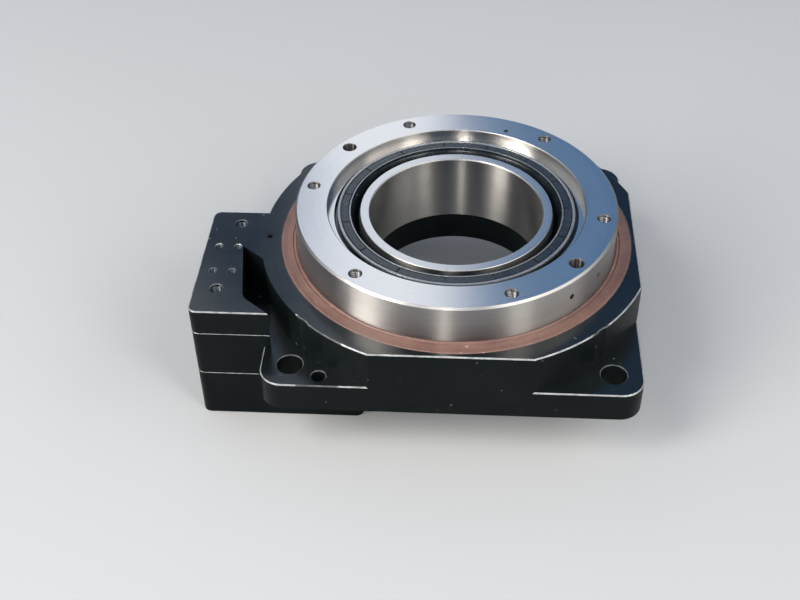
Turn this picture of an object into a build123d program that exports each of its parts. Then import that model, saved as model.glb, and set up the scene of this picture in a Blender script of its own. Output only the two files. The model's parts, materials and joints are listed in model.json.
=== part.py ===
from build123d import *
import os
from math import acos, atan2, cos, degrees, hypot, pi, radians, sin, sqrt, tan

# Hollow rotary table reducer, 130 mm frame, with the input pinion in a wing at -X.
# Millimetres, +Z up along the output axis. The origin is the centre of the base's
# underside, which is the face that bolts to a machine.

# Housing
FRAME = 130.0               # side of the square foot
FOOT_THICK = 11.4
FOOT_CORNER = 8.0
TOP = 26.8                  # top face of the boss and the wing
BOSS_R = 70.5
EDGE = 0.4                  # chamfer on the machined outside edges
SEAM = 0.3                  # chamfer along the joints between stacked castings
MOUNT_SPACING = 110.0
MOUNT_HOLE_R = 4.5
SPOT_FACE_R = 7.7
PIN_HOLE_R = 2.5
PIN_HOLE = (44.7, 60.2)     # this hole is at +X +Y and again at -X -Y
RIM_SEAT_R = 63.3           # outer seal's seat, open to the top
LEDGE_R = 51.3              # bore below the ledge that carries the main bearing
LOBE_WALL = 4.0             # wall round the pinion's pocket
FIT = 0.05                  # gap between parts that stand side by side

# Wing, in three layers: housing plate, bearing block, motor flange
WING_X = (-90.3, -58.0)
WING_Y = (-46.8, 9.4)
WING_CORNER = 3.0
BLOCK_END = -62.54          # +X end of the bearing block, above the foot
PLATE_LOW = 16.8            # joint between the housing plate and the bearing block
BLOCK_LOW = -2.0            # joint between the bearing block and the motor flange
FLANGE_LOW = -22.4
FLANGE_END = -31.4          # +X end of the flange, under the base
POCKET_FLOOR = FOOT_THICK   # relief between the wing and the boss
POCKET = [(-76.5, -10.7), (-72.5, -38.4), (-56.1, -52.1), (-50.0, -52.1), (-60.0, -24.3)]
POCKET_CORNER = 6.0
TOP_HOLES = [(-79.2, 2.45), (-82.3, -34.2)]
TOP_HOLE_R = 2.1            # M5 tapping drill
SENSOR_CENTRE = (-81.75, -17.85)
SENSOR_SPACING = (6.8, 13.6)
SENSOR_HOLE_R = 1.25        # M3 tapping drill
TOP_HOLE_DEPTH = 8.0
GREASE_PORT = (-67.5, -4.7)
GREASE_PORT_DEPTH = 6.0
GREASE_LEVEL = 6.0          # height of the cross hole into the gear chamber
GREASE_WAY_R = 0.9

# Output side
TABLE_R = 57.5
TABLE_TOP = 41.1
TABLE_LOW = 22.0
TABLE_BORE_R = 37.5
TABLE_HUB_R = 48.0          # hub between the rim and the main bearing
TABLE_EDGE = 0.7
RECESS_R = 46.0
RECESS_FLOOR = 37.2
SEAL_SEAT_R = 43.5
SEAL_SEAT_FLOOR = 29.0
OUTPUT_PCR = 52.5           # pitch circle radius of the table's holes
OUTPUT_PHASE = -8.4
OUTPUT_HOLE_R = 2.1         # M5 tapping drill
OUTPUT_HOLE_DEPTH = 12.0
OUTPUT_PIN_DEPTH = 10.0
JACKING_HOLE = (49.3, 68.6)             # radius and angle
JACKING_HOLE_R = 0.9
JACKING_HOLE_DEPTH = 5.0
RIM_HOLES = [(-46.3, 1.0), (-31.1, 0.75)]   # angle and radius
RIM_HOLE_Z = 34.0
RIM_HOLE_DEPTH = 4.5
HOLLOW_R = 31.0             # hollow bore
SLEEVE_R = 35.0
SLEEVE_LOW = 11.8
SLEEVE_TOP = 37.8
ORING_GROOVE = (16.0, 17.3)
ORING_GROOVE_R = 34.0
RETAINER_IN_R = 50.5
RETAINER_TOP = 21.6
RETAINER_PCR = 58.0

# Main crossed roller bearing, 90 x 106 x 8
BEARING_LOW = 11.6
BEARING_TOP = 19.6
BEARING_IN_R = 45.0
BEARING_OUT_R = 53.0
BEARING_PITCH_R = 49.0
RING_GAP = 1.2
ROLLER_COUNT = 60
ROLLER_SIZE = 3.9           # diameter and length
SPACER_R = 1.7
SPACER_THICK = 0.8
RUNNING = 0.05              # running clearance of every rolling pair

# Gear pair
MODULE = 1.25
PRESSURE = radians(20)
PINION_TEETH = 9
GEAR_TEETH = 90
PINION_SHIFT = 0.5
BACKLASH = 0.12
PINION_AXIS = (-60.0, -18.7)
GEAR_LOW = 3.2
GEAR_HIGH = 9.8
GEAR_LAND_R = 48.2
GEAR_BORE_R = 37.3
GEAR_SCREW_R = 41.6
CHAMBER_R = 58.6
CHAMBER_TOP = 10.2
COVER_TOP = 2.5
COVER_LOW = 0.2
COVER_R = 61.4
COVER_EAR_R = 5.0
HUB_R = 36.5                # cover's upstand round the sleeve
LIP_TOP = 24.0

# Input side
PINION_POCKET_R = 8.0
PINION_STAGE = (-0.8, 3.0)  # plain length between the lower bearing and the teeth
UPPER = {"bore": 4.0, "outer": 7.0, "low": 10.9, "high": 14.9, "ball": 0.85, "count": 9}
LOWER = {"bore": 10.0, "outer": 16.0, "low": -9.0, "high": -2.0, "ball": 1.75, "count": 12}
COLLAR = (-20.0, -11.0)
COLLAR_R = 17.0
COLLAR_SCREW_OFFSET = 13.0
COLLAR_SCREW_Z = -15.5
COLLAR_SCREW_SEAT = 5.0     # from the slit's middle to under the screw's head
HUB_SLIT_TOP = -9.6
CIRCLIP_GROOVE = (-10.4, -9.0)
CIRCLIP_IN_R = 9.52
CLAMP_ROOM_R = 18.5
CLAMP_ROOM_TOP = -10.2
LOWER_SHOULDER_R = 14.0
STAGE_ROOM_R = 12.0
SLIT = 1.5
MOTOR_SHAFT_R = 4.0
MOTOR_PILOT_R = 19.05
MOTOR_PILOT_DEPTH = 2.0
MOTOR_SPACING = 47.14
MOTOR_HOLE_R = 2.1          # M5 tapping drill
MOTOR_HOLE_DEPTH = 12.0
ACCESS_R = 4.0

# Fasteners: head radius and socket width across flats, by thread size
M3_R = 1.5
M4_R = 2.0
HEAD_R = {3: 2.75, 4: 3.5}
SOCKET = {3: 2.5, 4: 3.0}
THREAD_GAP = 0.02           # between a screw's shank and its hole
DOWEL_R = 1.99
FLAT_HEAD_R = 3.9
FLAT_HEAD_SINK = 0.2        # below the cover's face
COVER_SCREW_TOP = 10.0
RETAINER_SCREW_LOW = 13.0
BLOCK_SEAT = BLOCK_LOW + 4.4
BLOCK_SCREW_TOP = 24.4
BLOCK_DOWEL_REACH = 6.0     # into each of the two layers
FLANGE_SEAT = FLANGE_LOW + 3.4
FLANGE_SCREW_TOP = 7.6
GEAR_SEAT = GEAR_LOW + 4.2
GEAR_SCREW_TOP = BEARING_LOW + 8.4
GEAR_DOWEL_TOP = BEARING_LOW + 6.4
COVER_SCREWS = [(46.7 * a, 46.7 * b) for a in (-1, 1) for b in (-1, 1)]
BLOCK_SCREWS = [(-85.5, -42.0), (-74.0, -42.0), (-85.5, 4.5), (-74.0, 4.5)]
BLOCK_DOWELS = [(-86.5, -17.85), (-79.7, -42.9)]
FLANGE_SCREWS = [(-86.3, -29.0), (-86.3, -14.0), (-56.0, -43.0), (-64.0, 5.6)]


# ---- helpers ----------------------------------------------------------------

def disc(radius, low, high, at=(0, 0)):
    """Upright cylinder between two heights."""
    return Pos(at[0], at[1], (low + high) / 2) * Cylinder(radius, high - low)


def ring(inner, outer, low, high, at=(0, 0)):
    """Upright tube between two heights."""
    return disc(outer, low, high, at) - disc(inner, low, high, at)


def block(x, y, low, high, corner=0.0):
    """Box from (low, high) pairs, with round upright corners if asked."""
    size = (x[1] - x[0], y[1] - y[0], high - low)
    box = Pos((x[0] + x[1]) / 2, (y[0] + y[1]) / 2, (low + high) / 2) * Box(*size)
    return fillet(box.edges().filter_by(Axis.Z), corner) if corner else box


def lathe(outline, at=(0, 0)):
    """Turned solid from a closed (radius, height) outline."""
    section = make_face(Polyline([(r, 0, z) for r, z in outline], close=True))
    return Pos(at[0], at[1], 0) * revolve(section, Axis.Z)


def torus(major, minor, height, at=(0, 0)):
    return Pos(at[0], at[1], height) * Torus(major, minor)


def polar(radius, angle):
    """Point at an angle in degrees about the output axis."""
    return (radius * cos(radians(angle)), radius * sin(radians(angle)))


def circle_of(radius, count, phase=0.0):
    return [polar(radius, phase + 360 * i / count) for i in range(count)]


def holes(radius, low, high, places):
    """Matching upright cylinders, ready to be cut away."""
    return [disc(radius, low, high, at) for at in places]


def tapered_mouth(radius, face, up, at, edge=0.4):
    """Countersink that breaks a hole's edge; up is 1 for a hole that opens upwards."""
    cone = [(0, face + up * 0.1), (radius + edge + 0.1, face + up * 0.1),
            (radius, face - up * edge), (0, face - up * edge)]
    return lathe(cone, at)


def hexagon(width, low, high, at=(0, 0)):
    """Hexagonal prism for a screw's socket."""
    face = Pos(at[0], at[1], low) * RegularPolygon(width / sqrt(3), 6)
    return extrude(face, high - low)


def cap_screw(size, seat, length, at):
    """Socket head cap screw that points up, with its head under the seat."""
    head = lathe([(0, seat - size), (HEAD_R[size] - 0.3, seat - size),
                  (HEAD_R[size], seat - size + 0.3), (HEAD_R[size], seat), (0, seat)], at)
    shank = disc(size / 2 - THREAD_GAP, seat, seat + length, at)
    return head + shank - hexagon(SOCKET[size], seat - size, seat - size * 0.45, at)


def screw_hole(size, seat, length, face, at):
    """Counterbore from the face up to the seat, then the shank's hole."""
    counterbore = disc(HEAD_R[size] + 0.25, face, seat, at)
    return counterbore + disc(size / 2, seat, seat + length + 1, at)


def dowel(radius, low, high, at):
    """Parallel pin with broken ends."""
    edge = 0.3
    return lathe([(0, low), (radius - edge, low), (radius, low + edge), (radius, high - edge),
                  (radius - edge, high), (0, high)], at)


def plan(outline):
    """Flat face from corner points."""
    return make_face(Polyline(outline, close=True))


# ---- gear geometry ----------------------------------------------------------

def involute(angle):
    return tan(angle) - angle


CENTRE_DISTANCE = hypot(*PINION_AXIS)
PINION_DIRECTION = degrees(atan2(PINION_AXIS[1], PINION_AXIS[0]))
REFERENCE_DISTANCE = MODULE * (PINION_TEETH + GEAR_TEETH) / 2
WORKING_ANGLE = acos(REFERENCE_DISTANCE * cos(PRESSURE) / CENTRE_DISTANCE)
SHIFT_SUM = ((PINION_TEETH + GEAR_TEETH) * (involute(WORKING_ANGLE) - involute(PRESSURE))
             / (2 * tan(PRESSURE)))
GEAR_SHIFT = SHIFT_SUM - PINION_SHIFT
TIP_CUT = SHIFT_SUM - (CENTRE_DISTANCE - REFERENCE_DISTANCE) / MODULE


def tip_radius(teeth, shift):
    return MODULE * (teeth / 2 + 1 + shift - TIP_CUT)


def root_radius(teeth, shift):
    dedendum = 1.25
    return MODULE * (teeth / 2 - dedendum + shift)


def gear_face(teeth, shift, phase):
    """Outline of an involute spur gear with one tooth centred on the phase angle."""
    reference = MODULE * teeth / 2
    base = reference * cos(PRESSURE)
    tip = tip_radius(teeth, shift)
    root = root_radius(teeth, shift)
    thickness = MODULE * (pi / 2 + 2 * shift * tan(PRESSURE)) - BACKLASH / 2
    flank_low = max(base, root) + 0.02

    def half_angle(radius):
        roll = acos(min(1.0, base / radius))
        return degrees(thickness / (2 * reference) + involute(PRESSURE) - involute(roll))

    steps = 4
    radii = [flank_low + (tip - flank_low) * i / steps for i in range(steps + 1)]
    pitch = 360 / teeth
    edges = []
    for tooth in range(teeth):
        centre = phase + pitch * tooth
        rising = [polar(r, centre - half_angle(r)) for r in radii]
        falling = [polar(r, centre + half_angle(r)) for r in reversed(radii)]
        foot = half_angle(flank_low)
        root_start = polar(root, centre + foot)
        root_end = polar(root, centre + pitch - foot)
        edges.append(Line(polar(root, centre - foot), rising[0]))
        edges.append(Spline(*rising))
        edges.append(ThreePointArc(rising[-1], polar(tip, centre), falling[0]))
        edges.append(Spline(*falling))
        edges.append(Line(falling[-1], root_start))
        edges.append(ThreePointArc(root_start, polar(root, centre + pitch / 2), root_end))
    return make_face(edges)


# ---- fixed castings ---------------------------------------------------------

def pocket(low, high):
    """Relief between the boss and the wing, with straight outer walls."""
    outline = plan(POCKET)
    inner_corner = outline.vertices().sort_by_distance((*POCKET[1], 0))[0]
    shape = Pos(0, 0, low) * fillet(inner_corner, POCKET_CORNER)
    return extrude(shape, high - low) - disc(BOSS_R, low, high)


def grease_way():
    """Threaded port in the boss top, and the drilled way from it to the gear chamber."""
    reach = hypot(*GREASE_PORT)
    start = CHAMBER_R - 2
    aim = degrees(atan2(GREASE_PORT[1], GREASE_PORT[0]))
    x, y = polar((start + reach) / 2, aim)
    cross = Pos(x, y, GREASE_LEVEL) * Rot(0, 90, aim) * Cylinder(GREASE_WAY_R, reach - start)
    return [disc(M3_R, TOP - GREASE_PORT_DEPTH, TOP, GREASE_PORT),
            disc(GREASE_WAY_R, GREASE_LEVEL, TOP, GREASE_PORT), cross]


def wing_layer(right, low, high, edge=0.0):
    """Slab of the wing with round -X corners and, if asked, a chamfer round its top."""
    body = block((WING_X[0], right), WING_Y, low, high)
    body = fillet(body.edges().filter_by(Axis.Z).sort_by(Axis.X)[:2], WING_CORNER)
    return chamfer(body.faces().sort_by(Axis.Z)[-1].edges(), edge) if edge else body


def under_base(gap, low, high):
    """Slab under the base that the wing's lower layers reach into."""
    x = (-BOSS_R - 3, FLANGE_END + gap)
    return block(x, (WING_Y[0] - gap, WING_Y[1] + gap), low, high)


def mount_places():
    half = MOUNT_SPACING / 2
    return [(a * half, b * half) for a in (-1, 1) for b in (-1, 1)]


def pin_places():
    return [PIN_HOLE, (-PIN_HOLE[0], -PIN_HOLE[1])]


def housing_outside():
    """Foot, round boss with three flats, and the wing's top plate, before boring."""
    half = FRAME / 2
    boss = disc(BOSS_R, 0, TOP) & block((-BOSS_R, half), (-half, half), 0, TOP)
    upper = boss + wing_layer(WING_X[1] + 20, PLATE_LOW, TOP)
    upper = upper - holes(SPOT_FACE_R, FOOT_THICK, TOP, mount_places())
    upper = chamfer(upper.faces().sort_by(Axis.Z)[-1].outer_wire().edges(), EDGE)
    upper = upper - pocket(PLATE_LOW, TOP)
    foot = block((-half, half), (-half, half), 0, FOOT_THICK, FOOT_CORNER)
    foot = chamfer(foot.faces().sort_by(Axis.Z)[-1].edges(), EDGE)
    lobe = disc(PINION_POCKET_R + LOBE_WALL, 0, POCKET_FLOOR, PINION_AXIS)
    return upper + foot + lobe - under_base(0.3, 0, COVER_LOW)


def housing_bores():
    """Seats and chambers on the output axis, then those on the pinion's axis."""
    shoulder = 5.4
    return [disc(RIM_SEAT_R, BEARING_TOP, TOP), tapered_mouth(RIM_SEAT_R, TOP, 1, (0, 0), 0.2),
            disc(BEARING_OUT_R, BEARING_LOW, BEARING_TOP), disc(LEDGE_R, CHAMBER_TOP, BEARING_LOW),
            disc(CHAMBER_R, COVER_TOP, CHAMBER_TOP), disc(COVER_R + 0.1, 0, COVER_TOP),
            disc(PINION_POCKET_R, 0, CHAMBER_TOP, PINION_AXIS),
            disc(UPPER["outer"], CHAMBER_TOP, UPPER["high"], PINION_AXIS),
            disc(shoulder, UPPER["high"], UPPER["high"] + 1, PINION_AXIS)]


def open_holes(radius, low, high, places):
    """Holes that open upwards, each with a broken edge."""
    return holes(radius, low, high, places) + [tapered_mouth(radius, high, 1, at, 0.3) for at in places]


def housing():
    """Foot, round boss with three flats, and the wing's top plate."""
    body = housing_outside() - housing_bores()
    body = body - open_holes(MOUNT_HOLE_R, 0, FOOT_THICK, mount_places())
    body = body - open_holes(PIN_HOLE_R, 0, FOOT_THICK, pin_places())
    body = body - open_holes(TOP_HOLE_R, TOP - TOP_HOLE_DEPTH, TOP, TOP_HOLES)
    body = body - open_holes(SENSOR_HOLE_R, TOP - TOP_HOLE_DEPTH, TOP, sensor_places())
    body = body - grease_way()
    body = body - holes(COVER_EAR_R + 0.1, 0, COVER_TOP, COVER_SCREWS)
    body = body - holes(M4_R, COVER_TOP, CHAMBER_TOP, COVER_SCREWS)
    body = body - holes(M3_R, RETAINER_SCREW_LOW - 0.4, BEARING_TOP, retainer_places())
    body = body - holes(M4_R, PLATE_LOW, BLOCK_SCREW_TOP + 0.2, BLOCK_SCREWS)
    body = body - holes(M4_R, PLATE_LOW, PLATE_LOW + BLOCK_DOWEL_REACH + 1, BLOCK_DOWELS)
    return body - holes(M3_R, 0, 10.0, FLANGE_SCREWS[2:])


def sensor_places():
    dx = SENSOR_SPACING[0] / 2
    dy = SENSOR_SPACING[1] / 2
    x, y = SENSOR_CENTRE
    return [(x + a * dx, y + b * dy) for a in (-1, 1) for b in (-1, 1)]


def retainer_places():
    return circle_of(RETAINER_PCR, 8)


def bearing_block():
    """Middle layer of the wing, with a thin plate that reaches under the base."""
    foot_top = FOOT_THICK + FIT
    upper = wing_layer(BLOCK_END, foot_top, PLATE_LOW, SEAM)
    lower = wing_layer(-FRAME / 2 - FIT, COVER_LOW, foot_top)
    plate = block((WING_X[0], FLANGE_END), WING_Y, BLOCK_LOW, COVER_LOW, WING_CORNER)
    body = upper + lower - disc(BOSS_R + FIT, COVER_LOW, PLATE_LOW) - pocket(POCKET_FLOOR, PLATE_LOW)
    body = body - disc(PINION_POCKET_R + LOBE_WALL + FIT, COVER_LOW, POCKET_FLOOR, PINION_AXIS)
    body = body + plate - disc(STAGE_ROOM_R, BLOCK_LOW, COVER_LOW, PINION_AXIS)
    body = body - [screw_hole(4, BLOCK_SEAT, PLATE_LOW - BLOCK_SEAT, BLOCK_LOW, at) for at in BLOCK_SCREWS]
    body = body - holes(M4_R, PLATE_LOW - BLOCK_DOWEL_REACH - 1, PLATE_LOW, BLOCK_DOWELS)
    return body - holes(M3_R, BLOCK_LOW, FLANGE_SCREW_TOP + 0.4, FLANGE_SCREWS)


def motor_flange():
    """Lower layer of the wing: motor face, pilot, clamp chamber and bearing seat."""
    body = block((WING_X[0], FLANGE_END), WING_Y, FLANGE_LOW, BLOCK_LOW, WING_CORNER)
    body = chamfer(body.faces().sort_by(Axis.Z)[0].edges(), EDGE)
    body = chamfer(body.faces().sort_by(Axis.Z)[-1].edges(), SEAM)
    pilot_top = FLANGE_LOW + MOTOR_PILOT_DEPTH
    body = body - [disc(MOTOR_PILOT_R, FLANGE_LOW, pilot_top, PINION_AXIS),
                   disc(CLAMP_ROOM_R, pilot_top, CLAMP_ROOM_TOP, PINION_AXIS),
                   disc(LOWER_SHOULDER_R, CLAMP_ROOM_TOP, LOWER["low"], PINION_AXIS),
                   disc(LOWER["outer"], LOWER["low"], BLOCK_LOW, PINION_AXIS)]
    body = body - holes(MOTOR_HOLE_R, FLANGE_LOW, FLANGE_LOW + MOTOR_HOLE_DEPTH, motor_places())
    body = body - [tapered_mouth(MOTOR_HOLE_R, FLANGE_LOW, -1, at) for at in motor_places()]
    body = body - [screw_hole(3, FLANGE_SEAT, BLOCK_LOW - FLANGE_SEAT, FLANGE_LOW, at)
                   for at in FLANGE_SCREWS]
    return body - access_way()


def motor_places():
    half = MOTOR_SPACING / 2
    return [(PINION_AXIS[0] + a * half, PINION_AXIS[1] + b * half) for a in (-1, 1) for b in (-1, 1)]


def access_way():
    """Cylinder from the wing's -X face in to the clamp chamber, in line with the clamp screw."""
    start = WING_X[0]
    end = PINION_AXIS[0] - STAGE_ROOM_R
    y = PINION_AXIS[1] + COLLAR_SCREW_OFFSET
    way = Rot(0, 90, 0) * Cylinder(ACCESS_R, end - start)
    return Pos((start + end) / 2, y, COLLAR_SCREW_Z) * way


def access_plug():
    """Push-in plug that closes the clamp screw's access hole."""
    length = 5.0
    outer_face = WING_X[0] + 0.5
    y = PINION_AXIS[1] + COLLAR_SCREW_OFFSET
    stem = Pos(outer_face + length / 2, y, COLLAR_SCREW_Z) * Rot(0, 90, 0) * Cylinder(ACCESS_R, length)
    slot = Pos(outer_face, y, COLLAR_SCREW_Z) * Box(1.5, 5, 1)
    return chamfer(stem.edges().sort_by(Axis.X)[0], 0.4) - slot


def bottom_cover():
    """Round cover with ears, and the hub that holds the hollow sleeve."""
    body = disc(COVER_R, COVER_LOW, COVER_TOP)
    body = body + holes(COVER_EAR_R, COVER_LOW, COVER_TOP, COVER_SCREWS)
    body = body + disc(HUB_R, COVER_LOW, LIP_TOP)
    body = body - [disc(HOLLOW_R, COVER_LOW, SLEEVE_LOW), disc(SLEEVE_R, SLEEVE_LOW, LIP_TOP),
                   disc(PINION_POCKET_R + 0.6, COVER_LOW, COVER_TOP, PINION_AXIS)]
    body = body - tapered_mouth(HOLLOW_R, COVER_LOW, -1, (0, 0), 0.6)
    rim = COVER_LOW + FLAT_HEAD_SINK
    neck = COVER_TOP - 0.1
    sink = [(0, COVER_LOW), (FLAT_HEAD_R + 0.1, COVER_LOW), (FLAT_HEAD_R + 0.1, rim), (M4_R, neck),
            (M4_R, COVER_TOP), (0, COVER_TOP)]
    return body - [lathe(sink, at) for at in COVER_SCREWS]


def cover_screws():
    """Flat head screws that hold the bottom cover."""
    rim = COVER_LOW + FLAT_HEAD_SINK
    shank = M4_R - THREAD_GAP
    section = [(0, rim), (FLAT_HEAD_R, rim), (shank, COVER_TOP - 0.1), (shank, COVER_SCREW_TOP),
               (0, COVER_SCREW_TOP)]
    return [lathe(section, at) - hexagon(2.5, rim, rim + 1.4, at) for at in COVER_SCREWS]


def hollow_sleeve():
    """Ground steel tube that lines the hollow bore and carries the inner seal's lip."""
    edge = 0.2
    lead_in = (0.5, 2.2)        # slow taper at the top, for sliding the seal on
    inner_edge = 0.4
    foot_edge = 0.3
    groove_low, groove_high = ORING_GROOVE
    top_r = SLEEVE_R - lead_in[0]
    return lathe([(HOLLOW_R, SLEEVE_LOW), (SLEEVE_R - foot_edge, SLEEVE_LOW),
                  (SLEEVE_R, SLEEVE_LOW + foot_edge), (SLEEVE_R, groove_low), (ORING_GROOVE_R, groove_low),
                  (ORING_GROOVE_R, groove_high), (SLEEVE_R, groove_high), (SLEEVE_R, SLEEVE_TOP - lead_in[1]),
                  (top_r, SLEEVE_TOP - edge), (top_r - edge, SLEEVE_TOP),
                  (HOLLOW_R + inner_edge, SLEEVE_TOP), (HOLLOW_R, SLEEVE_TOP - inner_edge)])


def sleeve_oring():
    return torus((ORING_GROOVE_R + SLEEVE_R) / 2, 0.48, sum(ORING_GROOVE) / 2)


def bearing_retainer():
    """Flat ring that holds the main bearing's outer ring down."""
    low, high = (BEARING_TOP, RETAINER_TOP)
    head_r = 3.2
    hole_r = M3_R + 0.1
    body = ring(RETAINER_IN_R, RIM_SEAT_R - 0.1, low, high)
    sink = [(0, low), (hole_r, low), (hole_r, high - 1.6), (head_r, high), (0, high)]
    return body - [lathe(sink, at) for at in retainer_places()]


def retainer_screws():
    """Flat head screws, a little below the retainer's face."""
    head_r = 3.05
    low, high = (RETAINER_SCREW_LOW, RETAINER_TOP - 0.1)
    shank = M3_R - THREAD_GAP
    section = [(0, low), (shank, low), (shank, high - 1.6), (head_r, high), (0, high)]
    return [lathe(section, at) - hexagon(2.0, high - 1.2, high, at) for at in retainer_places()]


def outer_seal():
    """Fluoro-rubber lip seal between the boss and the table's rim."""
    lip = TABLE_R + 0.03
    section = [(63.25, 21.7), (63.25, 26.5), (62.9, 26.85), (59.3, 26.85), (58.9, 26.6), (58.5, 27.3),
               (lip, 27.1), (lip, 26.6), (57.9, 26.0), (57.9, 23.8), (lip, 23.2), (57.9, 22.5),
               (59.0, 22.5), (59.0, 25.2), (61.3, 25.2), (61.3, 21.7)]
    return lathe(section)


def outer_seal_spring():
    """Garter spring behind the outer seal's lip."""
    return torus(59.8, 0.75, 23.4)


def inner_seal():
    """Nitrile lip seal in the table, running on the hollow sleeve."""
    lip = SLEEVE_R + 0.05
    section = [(SEAL_SEAT_R - 0.05, 29.2), (SEAL_SEAT_R - 0.05, 36.4), (42.65, 36.4), (42.65, 38.3),
               (42.45, 38.5), (41.7, 38.5), (41.4, 38.25), (38.5, 38.25), (38.3, 38.5), (37.9, 38.5),
               (37.5, 37.9), (35.6, 32.8), (lip, 31.8), (lip, 31.4), (35.9, 30.3), (36.9, 31.0),
               (38.6, 35.0), (41.5, 35.0), (41.5, 29.2)]
    return lathe(section)


def inner_seal_spring():
    """Garter spring behind the inner seal's lip."""
    return torus(37.95, 0.65, 31.6)


def grease_plug():
    """Set screw flush with the boss top."""
    top = TOP - 0.1
    body = disc(M3_R - THREAD_GAP, top - 4, top, GREASE_PORT)
    return body - hexagon(1.5, top - 1.6, top, GREASE_PORT)


def block_screws():
    return [cap_screw(4, BLOCK_SEAT, BLOCK_SCREW_TOP - BLOCK_SEAT, at) for at in BLOCK_SCREWS]


def block_dowels():
    low = PLATE_LOW - BLOCK_DOWEL_REACH
    high = PLATE_LOW + BLOCK_DOWEL_REACH
    return [dowel(DOWEL_R, low, high, at) for at in BLOCK_DOWELS]


def flange_screws():
    return [cap_screw(3, FLANGE_SEAT, FLANGE_SCREW_TOP - FLANGE_SEAT, at) for at in FLANGE_SCREWS]


# ---- main bearing -----------------------------------------------------------

BEARING_MID = (BEARING_LOW + BEARING_TOP) / 2
GROOVE = (ROLLER_SIZE / 2 + RUNNING) * sqrt(2)      # from the pitch circle to a groove's root


def main_bearing_inner_ring():
    face = BEARING_PITCH_R - RING_GAP / 2
    rise = GROOVE - RING_GAP / 2
    return lathe([(BEARING_IN_R, BEARING_LOW), (face, BEARING_LOW), (face, BEARING_MID - rise),
                  (BEARING_PITCH_R - GROOVE, BEARING_MID), (face, BEARING_MID + rise),
                  (face, BEARING_TOP), (BEARING_IN_R, BEARING_TOP)])


def main_bearing_outer_ring():
    face = BEARING_PITCH_R + RING_GAP / 2
    rise = GROOVE - RING_GAP / 2
    return lathe([(BEARING_OUT_R, BEARING_LOW), (face, BEARING_LOW), (face, BEARING_MID - rise),
                  (BEARING_PITCH_R + GROOVE, BEARING_MID), (face, BEARING_MID + rise),
                  (face, BEARING_TOP), (BEARING_OUT_R, BEARING_TOP)])


def bearing_rollers():
    """Rollers whose axes lean inwards and outwards by turns."""
    rollers = []
    for i in range(ROLLER_COUNT):
        lean = 45 if i % 2 else -45
        roller = Rot(0, lean, 0) * Cylinder(ROLLER_SIZE / 2, ROLLER_SIZE)
        place = Rot(0, 0, 360 * i / ROLLER_COUNT) * Pos(BEARING_PITCH_R, 0, BEARING_MID)
        rollers.append(place * roller)
    return rollers


def roller_spacers():
    """Plastic discs between neighbouring rollers."""
    spacers = []
    for i in range(ROLLER_COUNT):
        spacer = Rot(90, 0, 0) * Cylinder(SPACER_R, SPACER_THICK)
        place = Rot(0, 0, 360 * (i + 0.5) / ROLLER_COUNT) * Pos(BEARING_PITCH_R, 0, BEARING_MID)
        spacers.append(place * spacer)
    return spacers


# ---- output side ------------------------------------------------------------

def table_section():
    """Half outline of the table, from the hub's foot out to the rim and back over the top."""
    edge = 0.3
    return [(TABLE_BORE_R, BEARING_LOW), (BEARING_IN_R, BEARING_LOW), (BEARING_IN_R, BEARING_TOP),
            (TABLE_HUB_R, BEARING_TOP), (TABLE_HUB_R, TABLE_LOW), (TABLE_R - edge, TABLE_LOW),
            (TABLE_R, TABLE_LOW + edge), (TABLE_R, TABLE_TOP - TABLE_EDGE), (TABLE_R - TABLE_EDGE, TABLE_TOP),
            (RECESS_R + edge, TABLE_TOP), (RECESS_R, TABLE_TOP - edge), (RECESS_R, RECESS_FLOOR),
            (SEAL_SEAT_R + edge, RECESS_FLOOR), (SEAL_SEAT_R, RECESS_FLOOR - edge),
            (SEAL_SEAT_R, SEAL_SEAT_FLOOR), (TABLE_BORE_R, SEAL_SEAT_FLOOR)]


def output_table():
    """Turned table: output face, rim, seal seat and the hub that the main bearing carries."""
    body = lathe(table_section())
    tapped = circle_of(OUTPUT_PCR, 6, OUTPUT_PHASE)
    pins = circle_of(OUTPUT_PCR, 2, OUTPUT_PHASE - 30)
    body = body - holes(OUTPUT_HOLE_R, TABLE_TOP - OUTPUT_HOLE_DEPTH, TABLE_TOP, tapped)
    body = body - [tapered_mouth(OUTPUT_HOLE_R, TABLE_TOP, 1, at, 0.35) for at in tapped]
    body = body - holes(PIN_HOLE_R, TABLE_TOP - OUTPUT_PIN_DEPTH, TABLE_TOP, pins)
    body = body - [tapered_mouth(PIN_HOLE_R, TABLE_TOP, 1, at, 0.2) for at in pins]
    body = body - disc(JACKING_HOLE_R, TABLE_TOP - JACKING_HOLE_DEPTH, TABLE_TOP, polar(*JACKING_HOLE))
    for angle, radius in RIM_HOLES:
        cross = Rot(0, 90, 0) * Cylinder(radius, RIM_HOLE_DEPTH)
        place = Rot(0, 0, angle) * Pos(TABLE_R - RIM_HOLE_DEPTH / 2, 0, RIM_HOLE_Z)
        body = body - place * cross
    body = body - holes(M4_R, BEARING_LOW, GEAR_SCREW_TOP + 0.6, gear_screw_places())
    return body - holes(M4_R, BEARING_LOW, GEAR_DOWEL_TOP + 0.6, gear_dowel_places())


def gear_screw_places():
    return circle_of(GEAR_SCREW_R, 8, 22.5)


def gear_dowel_places():
    return circle_of(GEAR_SCREW_R, 2, 0)


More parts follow.
